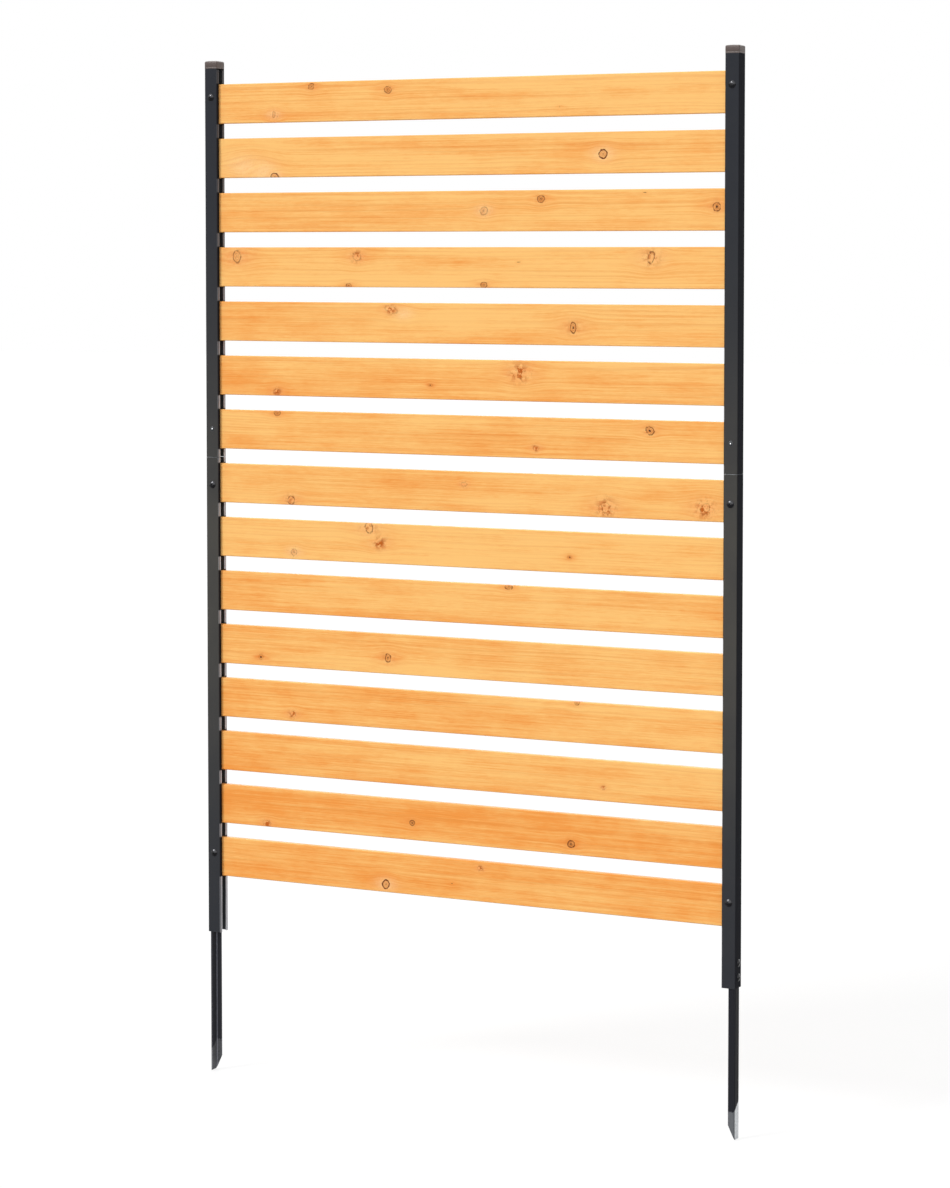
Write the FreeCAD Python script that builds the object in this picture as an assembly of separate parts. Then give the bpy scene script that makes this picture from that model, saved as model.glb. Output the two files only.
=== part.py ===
import FreeCAD, Part
import math
import os

# Garden privacy screen. Wood slats are stacked between two steel posts, each a lipped channel
# that opens towards the slats. A stake of steel angle is bolted inside each post's lower end.
# X runs across the panel, +Y is the back, +Z is up, and z = 0 is the ground line, where the
# lower ends of the posts meet the soil. The right side is modelled, and the left side mirrors it,
# except the stake, which is the same stake turned half round. All sizes are in millimetres.

# Panel of slats
panel_width = 880.0             # over the outer faces of both posts
slat_count = 15
upper_slat_count = 7            # slats held by the upper sections of the posts
slat_height = 60.0
slat_thickness = 11.0
slat_edge_chamfer = 1.0         # eased long edges
slat_gap = 23.0                 # open space between two slats
slat_end_clearance = 0.2        # slat end to the joiner angle behind it
lowest_slat_height = 88.0       # lower edge of the lowest slat above the ground line
top_slat_margin = 24.0          # upper end of the steel above the top slat

# Post channel, roll-formed from sheet
post_width = 22.0               # flange, across the panel
post_depth = 23.0               # web, front to back
post_wall = 1.2
post_bend_radius = 2.0          # outside of the bends
mouth_clearance = 0.5           # slat face to the lip's edge
seam_above_slat = 9.0           # end of the lower section above the slat under the seam
seam_gap = 0.5                  # open joint between the two sections

# Joiner angle inside the post at the seam
joiner_flange_leg = 17.0        # leg on the front flange
joiner_web_leg = 18.0           # leg on the web
joiner_wall = 1.6
joiner_inner_radius = 1.0
joiner_end_margin = 20.0        # from its fastener to the end of the joiner

# Moulded cap
cap_height = 12.0               # above the steel
cap_edge_chamfer = 1.2          # around the top
spigot_depth = 14.0
spigot_wall = 1.6
spigot_leg = 9.0                # legs along the flanges
crush_rib_height = 0.5          # ribs that press on the inside of the channel
crush_rib_width = 1.4
crush_rib_lead = 4.0            # length of the sloped lower end of a rib

# Spacer between two slats, a U-shaped plastic block
spacer_width = 8.0              # across the panel
spacer_wall = 1.6
spacer_side_clearance = 0.4     # spacer to the joiner's flange leg

# Screws and bolts with domed heads
head_diameter = 11.0
head_height = 2.4
shank_diameter = 4.8
slat_screw_bite = 8.0           # depth of a slat screw in the wood
pilot_depth_margin = 0.6        # pilot hole deeper than the screw
hole_clearance = 0.35           # on the radius, screw in sheet steel
thread_clearance = 0.05         # on the radius, screw in wood or nut
top_screw_above_middle = 10.0   # above the middle of the top slat
joiner_screw_below_middle = 3.0
bottom_screw_above_middle = 6.0

# Blind rivet of the joiner
rivet_diameter = 4.0
rivet_head_diameter = 7.0
rivet_head_height = 1.1
rivet_bulb_diameter = 5.6
rivet_bulb_height = 2.2
rivet_clearance = 0.05          # on the radius

# Stake of steel angle
stake_web_leg = 16.0            # leg on the post's web
stake_flange_leg = 10.0         # leg along the post's flange
stake_wall = 2.0
stake_inner_radius = 1.0
stake_flange_clearance = 0.3
stake_length_below = 220.0      # from the ground line down to the tip
stake_point_rise = 21.5         # slanted cut across the flange leg
stake_end_margin = 16.0         # above the upper bolt
stake_bolt_height = 15.0        # lower bolt above the ground line
stake_bolt_spacing = 21.0
nut_flats = 8.0
nut_height = 4.0
bolt_past_nut = 1.0

# Levels and planes that follow from the sizes above
slat_pitch = slat_height + slat_gap
top_slat_bottom = lowest_slat_height + slat_pitch * (slat_count - 1)
post_top = top_slat_bottom + slat_height + top_slat_margin
outer_face = panel_width / 2                            # outside of a web
web_inside = outer_face - post_wall
lip_face = outer_face - post_width                      # outside of the lips
front_face = -post_depth / 2                            # outside of the front flange
flange_inside = post_depth / 2 - post_wall              # distance from the middle plane
mouth_width = slat_thickness + 2 * mouth_clearance
slat_end = web_inside - joiner_wall - slat_end_clearance
bend_inside_radius = post_bend_radius - post_wall


def slat_bottom(number):
    # Slats are counted from 1 at the top
    return top_slat_bottom - slat_pitch * (number - 1)


def slat_middle(number):
    return slat_bottom(number) + slat_height / 2


seam_bottom = slat_bottom(upper_slat_count + 1) + slat_height + seam_above_slat
seam_top = seam_bottom + seam_gap
top_screw_height = slat_middle(1) + top_screw_above_middle
rivet_height = slat_middle(upper_slat_count)
joiner_screw_height = slat_middle(upper_slat_count + 1) - joiner_screw_below_middle
bottom_screw_height = slat_middle(slat_count) + bottom_screw_above_middle
slat_screw_heights = {1: top_screw_height,
                      upper_slat_count + 1: joiner_screw_height,
                      slat_count: bottom_screw_height}
screw_line = outer_face - post_width / 2                # middle of the flange
stake_bolt_heights = [stake_bolt_height, stake_bolt_height + stake_bolt_spacing]
screw_reach = post_depth / 2 - slat_thickness / 2 + slat_screw_bite


def block(x_low, x_high, y_low, y_high, z_low, z_high):
    corner = FreeCAD.Vector(x_low, y_low, z_low)
    return Part.makeBox(x_high - x_low, y_high - y_low, z_high - z_low, corner)


def is_vertical(edge):
    low, high = edge.Vertexes[0].Point, edge.Vertexes[-1].Point
    return abs(high.z - low.z) > 1e-6 and math.hypot(high.x - low.x, high.y - low.y) < 1e-6


def rounded_block(x_low, x_high, y_low, y_high, z_low, z_high, radius):
    # Block whose four upright edges are round
    body = block(x_low, x_high, y_low, y_high, z_low, z_high)
    return body.makeFillet(radius, [edge for edge in body.Edges if is_vertical(edge)])


def rod(radius, length, start, direction):
    return Part.makeCylinder(radius, length, start, direction)


def turned(points, start, direction):
    # Solid of revolution. Each point is (radius, distance along the axis), and a pair of points
    # in one entry is the middle and the end of an arc.
    edges = []
    last = FreeCAD.Vector(points[0][0], 0, points[0][1])
    for entry in points[1:]:
        if isinstance(entry[0], tuple):
            middle, end = (FreeCAD.Vector(radius, 0, along) for radius, along in entry)
            edges.append(Part.Arc(last, middle, end).toShape())
        else:
            end = FreeCAD.Vector(entry[0], 0, entry[1])
            edges.append(Part.makeLine(last, end))
        last = end
    edges.append(Part.makeLine(last, edges[0].Vertexes[0].Point))
    profile = Part.Face(Part.Wire(edges))
    solid = profile.revolve(FreeCAD.Vector(), FreeCAD.Vector(0, 0, 1), 360)
    solid.Placement = FreeCAD.Placement(start, FreeCAD.Rotation(FreeCAD.Vector(0, 0, 1), direction))
    return solid


def dome(radius, rise):
    # Arc from the rim of a head, at zero along the axis, to the top of its dome
    arc_radius = (radius ** 2 + rise ** 2) / (2 * rise)
    half_angle = math.asin(radius / arc_radius) / 2
    middle = (arc_radius * math.sin(half_angle), rise - arc_radius * (1 - math.cos(half_angle)))
    return middle, (0, rise)


def angle_bar(corner_x, corner_y, leg_x, leg_y, wall, inner_radius, z_low, z_high):
    # L section with round bends. leg_x and leg_y are signed: they run from the outer corner.
    side_x, side_y = math.copysign(1, leg_x), math.copysign(1, leg_y)
    bend = inner_radius + wall
    inner_bend = bend - inner_radius * math.sqrt(0.5)
    outer_bend = bend - bend * math.sqrt(0.5)

    def point(along_x, along_y):
        return FreeCAD.Vector(corner_x + side_x * along_x, corner_y + side_y * along_y, z_low)

    end_x, end_y = abs(leg_x), abs(leg_y)
    outline = [Part.makeLine(point(bend, 0), point(end_x, 0)),
               Part.makeLine(point(end_x, 0), point(end_x, wall)),
               Part.makeLine(point(end_x, wall), point(bend, wall)),
               Part.Arc(point(bend, wall), point(inner_bend, inner_bend), point(wall, bend)).toShape(),
               Part.makeLine(point(wall, bend), point(wall, end_y)),
               Part.makeLine(point(wall, end_y), point(0, end_y)),
               Part.makeLine(point(0, end_y), point(0, bend)),
               Part.Arc(point(0, bend), point(outer_bend, outer_bend), point(bend, 0)).toShape()]
    return Part.Face(Part.Wire(outline)).extrude(FreeCAD.Vector(0, 0, z_high - z_low))


def mirrored(shape):
    return shape.mirror(FreeCAD.Vector(), FreeCAD.Vector(1, 0, 0))


def half_turned(shape):
    turned_shape = shape.copy()
    turned_shape.rotate(FreeCAD.Vector(), FreeCAD.Vector(0, 0, 1), 180)
    return turned_shape


def front_hole(height, radius):
    # Cutter through the front flange at the middle of its width
    start = FreeCAD.Vector(screw_line, front_face - post_wall, height)
    return rod(radius, post_wall * 3 + joiner_wall, start, FreeCAD.Vector(0, 1, 0))


def web_hole(height, radius):
    start = FreeCAD.Vector(outer_face + post_wall, 0, height)
    return rod(radius, post_wall * 3 + stake_wall, start, FreeCAD.Vector(-1, 0, 0))


def channel(z_low, z_high):
    # Lipped channel: a rounded tube whose inner side is open between the two lips
    outside = rounded_block(lip_face, outer_face, front_face, -front_face, z_low, z_high,
                            post_bend_radius)
    hollow = rounded_block(lip_face + post_wall, web_inside, -flange_inside, flange_inside,
                           z_low, z_high, bend_inside_radius)
    mouth = block(lip_face - post_wall, lip_face + 2 * post_wall, -mouth_width / 2,
                  mouth_width / 2, z_low, z_high)
    return outside.cut([hollow, mouth])


def upper_post():
    return channel(seam_top, post_top).cut(
        [front_hole(top_screw_height, shank_diameter / 2 + hole_clearance),
         front_hole(rivet_height, rivet_diameter / 2 + rivet_clearance)])


def lower_post():
    holes = [front_hole(height, shank_diameter / 2 + hole_clearance)
             for height in (joiner_screw_height, bottom_screw_height)]
    holes += [web_hole(height, shank_diameter / 2 + hole_clearance) for height in stake_bolt_heights]
    return channel(0, seam_bottom).cut(holes)


def joiner():
    bar = angle_bar(web_inside, -flange_inside, -joiner_flange_leg, joiner_web_leg, joiner_wall,
                    joiner_inner_radius, joiner_screw_height - joiner_end_margin,
                    rivet_height + joiner_end_margin)
    return bar.cut([front_hole(joiner_screw_height, shank_diameter / 2 + hole_clearance),
                    front_hole(rivet_height, rivet_diameter / 2 + rivet_clearance)])


def crush_rib(x, y, along_web):
    # Upright rib on the outside of the spigot, with a sloped lower end. (x, y) is the middle of
    # its crest, which lies on the inside of the channel.
    inward_x = -1 if along_web else 0
    inward_y = 0 if along_web else -math.copysign(1, y)
    half = crush_rib_width / 2
    sunk = crush_rib_height + spigot_wall / 2
    side = FreeCAD.Vector(abs(inward_y) * half, abs(inward_x) * half, 0)
    inward = FreeCAD.Vector(inward_x, inward_y, 0)
    crest = FreeCAD.Vector(x, y, post_top)
    bottom = crest - FreeCAD.Vector(0, 0, spigot_depth)
    outline = [crest, crest + inward * sunk, bottom + inward * sunk,
               bottom + inward * crush_rib_height,
               bottom + FreeCAD.Vector(0, 0, crush_rib_lead)]
    face = Part.Face(Part.makePolygon([point - side for point in outline + outline[:1]]))
    return face.extrude(side * 2)


def cap_spigot():
    # U-shaped wall that hugs the web and both flanges
    web_side = web_inside - crush_rib_height
    flange_side = flange_inside - crush_rib_height
    z_low = post_top - spigot_depth
    leg_end = web_side - spigot_leg
    wall = block(leg_end - spigot_wall, web_side, -flange_side, flange_side, z_low, post_top)
    bend_edges = [edge for edge in wall.Edges
                  if is_vertical(edge) and edge.BoundBox.XMax > web_side - spigot_wall]
    wall = wall.makeChamfer(bend_inside_radius, bend_edges)
    pocket = block(leg_end - 2 * spigot_wall, web_side - spigot_wall, spigot_wall - flange_side,
                   flange_side - spigot_wall, z_low, post_top)
    open_end = block(leg_end - 2 * spigot_wall, leg_end, -flange_side, flange_side, z_low, post_top)
    rib_x = web_side - spigot_leg / 2
    rib_y = flange_side / 2
    ribs = [crush_rib(rib_x, flange_inside, False), crush_rib(rib_x, -flange_inside, False),
            crush_rib(web_inside, rib_y, True), crush_rib(web_inside, -rib_y, True)]
    return wall.cut([pocket, open_end]).fuse(ribs)


def cap():
    # The head is flush with the post, and its top is chamfered all round
    head = rounded_block(lip_face, outer_face, front_face, -front_face, post_top,
                         post_top + cap_height, post_bend_radius)
    rim = [edge for edge in head.Edges
           if min(vertex.Point.z for vertex in edge.Vertexes) > post_top + cap_height / 2]
    return head.makeChamfer(cap_edge_chamfer, rim).fuse(cap_spigot()).removeSplitter()


def domed_screw(start, direction, reach):
    # start lies on the surface under the head, and direction points out of the head
    radius = shank_diameter / 2
    profile = [(0, -reach), (radius, -reach), (radius, 0), (head_diameter / 2, 0),
               dome(head_diameter / 2, head_height)]
    return turned(profile, start, direction)


def slat_screw(height):
    start = FreeCAD.Vector(screw_line, front_face, height)
    return domed_screw(start, FreeCAD.Vector(0, -1, 0), screw_reach)


def stake_bolt(height):
    reach = post_wall + stake_wall + nut_height + bolt_past_nut
    start = FreeCAD.Vector(outer_face, 0, height)
    return domed_screw(start, FreeCAD.Vector(1, 0, 0), reach)


def stake_nut(height):
    # Hexagon nut against the inside of the stake
    corner_radius = nut_flats / math.sqrt(3)
    seat = web_inside - stake_wall
    corners = []
    for step in range(7):
        turn = math.radians(60 * step)
        corners.append(FreeCAD.Vector(seat, corner_radius * math.cos(turn),
                                      height + corner_radius * math.sin(turn)))
    inward = FreeCAD.Vector(-1, 0, 0)
    hexagon = Part.Face(Part.makePolygon(corners)).extrude(inward * nut_height)
    bore = rod(shank_diameter / 2 + thread_clearance, nut_height, FreeCAD.Vector(seat, 0, height),
               inward)
    return hexagon.cut(bore)


def joiner_rivet():
    # Domed head outside, and the bulb that the pulled pin leaves behind the joiner
    radius = rivet_diameter / 2
    grip = post_wall + joiner_wall
    bulb_radius = rivet_bulb_diameter / 2
    bulb_end = -grip - rivet_bulb_height
    profile = [(0, bulb_end), (bulb_radius, bulb_end), (bulb_radius, -grip), (radius, -grip),
               (radius, 0), (rivet_head_diameter / 2, 0),
               dome(rivet_head_diameter / 2, rivet_head_height)]
    start = FreeCAD.Vector(screw_line, front_face, rivet_height)
    return turned(profile, start, FreeCAD.Vector(0, -1, 0))


def stake():
    # Angle bar in the front outer corner of the post, with one slanted cut for its point
    corner_y = -flange_inside + stake_flange_clearance
    top = stake_bolt_heights[-1] + stake_end_margin
    bar = angle_bar(web_inside, corner_y, -stake_flange_leg, stake_web_leg, stake_wall,
                    stake_inner_radius, -stake_length_below, top)
    tip = FreeCAD.Vector(web_inside, corner_y, -stake_length_below)
    high = tip + FreeCAD.Vector(-stake_flange_leg, 0, stake_point_rise)
    low = tip + FreeCAD.Vector(-stake_flange_leg, 0, 0)
    wedge = Part.Face(Part.makePolygon([tip, high, low, tip]))
    offcut = wedge.extrude(FreeCAD.Vector(0, stake_web_leg, 0))
    holes = [web_hole(height, shank_diameter / 2 + hole_clearance) for height in stake_bolt_heights]
    return bar.cut([offcut] + holes)


def spacer(lower_slat):
    # Stands on the end of a slat and carries the slat above it. It is open towards the web.
    z_low = slat_bottom(lower_slat) + slat_height
    z_high = z_low + slat_gap
    side = flange_inside - joiner_wall - spacer_side_clearance
    outside = block(slat_end - spacer_width, slat_end, -side, side, z_low, z_high)
    hollow = block(slat_end - spacer_width + spacer_wall, slat_end, spacer_wall - side,
                   side - spacer_wall, z_low, z_high)
    return outside.cut(hollow)


def slat(number):
    # Board with eased long edges, and a blind pilot hole at each end where a screw enters it
    low = slat_bottom(number)
    board = block(-slat_end, slat_end, -slat_thickness / 2, slat_thickness / 2, low,
                  low + slat_height)
    long_edges = [edge for edge in board.Edges if edge.BoundBox.XLength > slat_end]
    board = board.makeChamfer(slat_edge_chamfer, long_edges)
    if number in slat_screw_heights:
        start = FreeCAD.Vector(screw_line, -slat_thickness / 2, slat_screw_heights[number])
        depth = slat_screw_bite + pilot_depth_margin
        pilot = rod(shank_diameter / 2 + thread_clearance, depth, start, FreeCAD.Vector(0, 1, 0))
        board = board.cut([pilot, mirrored(pilot)])
    return board


def build():
    spacers = Part.makeCompound([spacer(number) for number in range(2, slat_count + 1)])
    screws = [slat_screw(height) for height in slat_screw_heights.values()]
    rivet = joiner_rivet()
    bolts = [stake_bolt(height) for height in stake_bolt_heights]
    nuts = [stake_nut(height) for height in stake_bolt_heights]
    right_pieces = {"post_upper": upper_post(), "post_lower": lower_post(), "cap": cap(),
                    "joiner": joiner(), "slat_spacers": spacers}
    nodes = {}
    for name, shape in right_pieces.items():
        nodes[name + "_right"] = shape
        nodes[name + "_left"] = mirrored(shape)
    nodes["stake_right"] = stake()
    nodes["stake_left"] = half_turned(nodes["stake_right"])
    for number in range(1, slat_count + 1):
        nodes[f"slat_{number:02d}"] = slat(number)

    # Fasteners of one kind are one node, with both sides in it
    nodes["slat_screws"] = Part.makeCompound(screws + [mirrored(screw) for screw in screws])
    nodes["joiner_rivets"] = Part.makeCompound([rivet, mirrored(rivet)])
    nodes["stake_bolts"] = Part.makeCompound(bolts + [half_turned(bolt) for bolt in bolts])
    nodes["stake_nuts"] = Part.makeCompound(nuts + [half_turned(nut) for nut in nuts])
    return nodes


os.makedirs("parts", exist_ok=True)
for name, shape in build().items():
    shape.exportStep(f"parts/{name}.step")
    print(name, len(shape.Solids), round(shape.Volume), shape.isValid())
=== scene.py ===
import math
import bmesh
import bpy
from mathutils import Matrix, Vector


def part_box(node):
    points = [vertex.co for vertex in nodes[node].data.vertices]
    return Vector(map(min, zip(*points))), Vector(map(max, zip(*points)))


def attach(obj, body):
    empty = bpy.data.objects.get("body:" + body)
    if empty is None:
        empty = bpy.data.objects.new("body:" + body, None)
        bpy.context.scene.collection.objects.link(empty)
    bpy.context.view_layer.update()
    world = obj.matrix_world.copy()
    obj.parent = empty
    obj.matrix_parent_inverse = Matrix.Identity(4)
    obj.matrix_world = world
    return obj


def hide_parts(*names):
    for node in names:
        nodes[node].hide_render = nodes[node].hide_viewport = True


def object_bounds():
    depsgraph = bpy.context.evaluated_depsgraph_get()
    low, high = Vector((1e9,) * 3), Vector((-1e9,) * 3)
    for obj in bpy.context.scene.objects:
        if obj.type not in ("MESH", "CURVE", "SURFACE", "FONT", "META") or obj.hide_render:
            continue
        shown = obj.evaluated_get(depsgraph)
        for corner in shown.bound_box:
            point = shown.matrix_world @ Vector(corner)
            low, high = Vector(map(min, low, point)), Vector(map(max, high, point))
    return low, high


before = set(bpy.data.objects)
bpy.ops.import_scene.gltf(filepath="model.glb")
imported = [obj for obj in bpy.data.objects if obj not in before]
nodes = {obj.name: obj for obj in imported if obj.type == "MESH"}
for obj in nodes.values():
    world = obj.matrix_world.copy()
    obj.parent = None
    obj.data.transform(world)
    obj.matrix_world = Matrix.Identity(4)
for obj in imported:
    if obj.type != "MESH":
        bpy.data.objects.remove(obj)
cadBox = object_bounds()
scene = bpy.context.scene
mm = 0.001
smoothAngle = math.radians(32)  # edges up to this angle look rounded
print("frame loaded:", len(nodes), "nodes")


def tint(red, green, blue):  # a colour as a paint program shows it, 0 to 255
    linear = []
    for part in (red, green, blue):
        share = part / 255
        linear.append(share / 12.92 if share <= 0.04045 else ((share + 0.055) / 1.055) ** 2.4)
    return (*linear, 1.0)


# Small helpers that keep the node trees readable

def addNode(tree, kind, inputs=None, **settings):
    node = tree.nodes.new("ShaderNode" + kind)
    for name, value in settings.items():
        setattr(node, name, value)
    for name, value in (inputs or {}).items():
        if isinstance(value, bpy.types.NodeSocket):
            tree.links.new(value, node.inputs[name])
        else:
            node.inputs[name].default_value = value
    return node


def calc(tree, operation, *values):
    return addNode(tree, "Math", dict(enumerate(values)), operation=operation).outputs[0]


def product(tree, first, *others):
    for other in others:
        first = calc(tree, "MULTIPLY", first, other)
    return first


def opposite(tree, mask):
    return calc(tree, "SUBTRACT", 1.0, mask)


def vectorCalc(tree, operation, *values):
    node = addNode(tree, "VectorMath", dict(enumerate(values)), operation=operation)
    return node.outputs["Value" if operation in ("LENGTH", "DOT_PRODUCT") else "Vector"]


def split(tree, vector):
    return addNode(tree, "SeparateXYZ", {0: vector}).outputs


def surfaceNormal(tree):
    return addNode(tree, "NewGeometry").outputs["Normal"]


def ramp(tree, value, low, high, start=0.0, end=1.0):  # smooth step from low to high
    inputs = {"Value": value, "From Min": low, "From Max": high, "To Min": start, "To Max": end}
    return addNode(tree, "MapRange", inputs, interpolation_type="SMOOTHSTEP").outputs[0]


def mixColours(tree, amount, first, second):
    node = addNode(tree, "Mix", {0: amount, 6: first, 7: second}, data_type="RGBA",
                   clamp_factor=True)
    return node.outputs[2]


def noise(tree, point, scale, detail=2.0, roughness=0.5, output="Fac"):
    inputs = {"Vector": point, "Scale": scale, "Detail": detail, "Roughness": roughness}
    return addNode(tree, "TexNoise", inputs).outputs[output]


def newGroup(name, inputs, outputs):
    tree = bpy.data.node_groups.new(name, "ShaderNodeTree")
    for label, value in inputs.items():
        kind = "NodeSocketFloat" if isinstance(value, float) else "NodeSocketVector"
        socket = tree.interface.new_socket(label, in_out="INPUT", socket_type=kind)
        socket.default_value = value
    for label, kind in outputs.items():
        tree.interface.new_socket(label, in_out="OUTPUT", socket_type="NodeSocket" + kind)
    enter = tree.nodes.new("NodeGroupInput")
    leave = tree.nodes.new("NodeGroupOutput")
    return tree, enter.outputs, leave.inputs


def useGroup(tree, group, inputs):
    return addNode(tree, "Group", inputs, node_tree=group).outputs


def newMaterial(name, **plain):  # plain values go straight onto the shader's own sockets
    material = bpy.data.materials.new(name)
    material.use_nodes = True
    tree = material.node_tree
    shader = tree.nodes["Principled BSDF"]
    for label, value in plain.items():
        shader.inputs[label.replace("_", " ")].default_value = value
    return material, tree, shader


def pointInMillimetres(tree, centre=(0, 0, 0)):
    place = addNode(tree, "TexCoord").outputs["Object"]
    moved = vectorCalc(tree, "SUBTRACT", place, centre)
    return vectorCalc(tree, "MULTIPLY", moved, (1 / mm, 1 / mm, 1 / mm))


def toMesh(shape, name):
    mesh = bpy.data.meshes.new(name)
    shape.to_mesh(mesh)
    shape.free()
    return mesh


def joinRings(shape, rings):
    # Faces between rings of vertices, where a ring of one vertex is a pole, and over open ends
    for lower, upper in zip(rings, rings[1:]):
        count = max(len(lower), len(upper))
        for step in range(count):
            nextStep = (step + 1) % count
            corners = [lower[step % len(lower)], lower[nextStep % len(lower)],
                       upper[nextStep % len(upper)], upper[step % len(upper)]]
            shape.faces.new(list(dict.fromkeys(corners)))
    for ring in (rings[0], rings[-1]):
        if len(ring) > 1:
            shape.faces.new(ring)
    bmesh.ops.recalc_face_normals(shape, faces=shape.faces)
    return shape


def weldedShape(node):  # a CAD node's mesh without doubled vertices
    shape = bmesh.new()
    shape.from_mesh(nodes[node].data)
    bmesh.ops.remove_doubles(shape, verts=shape.verts, dist=1e-6)
    return shape


def addPiece(name, mesh, materials, node):  # a finer mesh that stands for a CAD node
    piece = bpy.data.objects.new(name, mesh)
    for material in materials:
        mesh.materials.append(material)
    mesh.polygons.foreach_set("use_smooth", [True] * len(mesh.polygons))
    mesh.set_sharp_from_angle(angle=smoothAngle)
    scene.collection.objects.link(piece)
    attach(piece, "root")
    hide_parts(node)


def dress(node, material):  # a CAD node keeps its shape and takes a new finish
    for slot in nodes[node].material_slots:
        slot.material = material


# Effects that several materials share. Lengths in them are millimetres.

effectLook = {
    "flatCosine": 0.995, "edgeCosine": 0.86,    # between the true and the rounded normal
    "wearPatch": 0.23,          # scale of the noise that breaks up worn edges
    "dustCloud": 0.05,          # scale of the dust's noise
    "dustOnWalls": 0.12,        # share of dust that upright and lower faces keep
    "rippleShare": 0.8,
}


def makeEdgeWear():
    # Mask along sharp edges, broken up by a noise
    tree, given, result = newGroup("edgeWear", {"Point": (0, 0, 0), "Width": 0.8, "Break": 0.4},
                                   {"Mask": "Float"})
    rounded = addNode(tree, "Bevel", {"Radius": product(tree, given["Width"], mm)}, samples=4)
    agree = vectorCalc(tree, "DOT_PRODUCT", rounded.outputs["Normal"], surfaceNormal(tree))
    edge = ramp(tree, agree, effectLook["flatCosine"], effectLook["edgeCosine"])
    patch = noise(tree, given["Point"], effectLook["wearPatch"], 4.0, 0.65)
    broken = product(tree, given["Break"], opposite(tree, ramp(tree, patch, 0.42, 0.62)))
    tree.links.new(product(tree, edge, opposite(tree, broken)), result["Mask"])
    return tree


def makeDust():
    # Thin film of dust that settles on what faces up
    tree, given, result = newGroup("dust", {"Point": (0, 0, 0), "Amount": 0.5}, {"Mask": "Float"})
    rise = split(tree, surfaceNormal(tree))["Z"]
    facingUp = ramp(tree, rise, -0.2, 1.0, effectLook["dustOnWalls"], 1.0)
    cloud = ramp(tree, noise(tree, given["Point"], effectLook["dustCloud"], 5.0, 0.6), 0.3, 0.75)
    tree.links.new(product(tree, facingUp, cloud, given["Amount"]), result["Mask"])
    return tree


def makeFineTexture():
    # Height of a moulded or powder-coated skin: small rounded grains over a slow ripple
    tree, given, result = newGroup(
        "fineTexture", {"Point": (0, 0, 0), "Grain": 0.6, "Ripple": 6.0},
        {"Height": "Float", "Speck": "Float"})
    fine = noise(tree, given["Point"], calc(tree, "DIVIDE", 1.0, given["Grain"]), 2.0, 0.6)
    slow = noise(tree, given["Point"], calc(tree, "DIVIDE", 1.0, given["Ripple"]), 2.0, 0.4)
    tree.links.new(calc(tree, "MULTIPLY_ADD", slow, effectLook["rippleShare"], fine),
                   result["Height"])
    tree.links.new(ramp(tree, fine, 0.35, 0.7), result["Speck"])
    return tree


edgeWear = makeEdgeWear()
dust = makeDust()
fineTexture = makeFineTexture()
print("shared effects ready")


# Each hard surface takes from its dictionary: grain and ripple of the fine texture, width of the
# worn edges and how broken they are, roughness, how much specks add to it, and relief, in mm

def wornEdges(tree, point, look):
    return useGroup(tree, edgeWear, {"Point": point, "Width": look["wearWidth"],
                                     "Break": look["wearBreak"]})["Mask"]


def startSurface(tree, look):
    point = pointInMillimetres(tree)
    skin = useGroup(tree, fineTexture, {"Point": point, "Grain": look["grain"],
                                        "Ripple": look["ripple"]})
    return point, skin, wornEdges(tree, point, look)


def speckledRoughness(tree, skin, look):
    return calc(tree, "MULTIPLY_ADD", skin["Speck"], look["speckle"], look["roughness"])


def endSurface(tree, shader, colour, rough, height, look):
    tree.links.new(colour, shader.inputs["Base Color"])
    tree.links.new(rough, shader.inputs["Roughness"])
    bump = addNode(tree, "Bump", {"Height": height, "Distance": look["relief"] * mm})
    tree.links.new(bump.outputs["Normal"], shader.inputs["Normal"])


# Boards

boardLook = {
    "pale": tint(248, 193, 115),
    "deep": tint(238, 150, 66),
    "lateWood": tint(220, 128, 48),
    "lateWoodCover": 0.32,
    "wander": 9.0,              # mm by which the growth rings stray from true circles
    "seedStep": 1.37,           # from board to board, so that no two share their noises
    "wearWidth": 1.2, "wearBreak": 0.7, "wornCover": 0.35,
    "specular": 0.15, "roughness": 0.4, "fibreRoughness": 0.2, "ringRoughness": -0.1,
    "relief": 0.12, "ringHeight": 0.5, "barkHeight": -0.8,
}

# Noises of the grain: scale along and across it, detail, roughness, and how far it moves the tone
grainNoises = {
    "Tone": (0.0024, 0.035, 2.0, 0.5, 1.3),
    "Streak": (0.009, 0.2, 3.0, 0.55, 0.8),
    "Line": (0.006, 0.8, 2.0, 0.6, 1.4),
    "Fibre": (0.07, 1.3, 3.0, 0.65, 1.2),
    "Cloud": (0.016, 0.03, 3.0, 0.6, 1.0),
}

# Layers of a knot from the lowest up, with colour and cover
knotLayers = {
    "Halo": (tint(232, 132, 50), 0.7),
    "Pale": (tint(252, 214, 160), 0.55),
    "Heart": (tint(222, 146, 72), 0.8),
    "Flame": (tint(188, 94, 26), 0.85),
    "Rings": (tint(134, 82, 42), 0.7),
    "Bark": (tint(104, 50, 16), 0.85),
    "Flecks": (tint(134, 82, 42), 0.6),
    "Core": (tint(74, 40, 20), 0.85),
}
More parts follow.
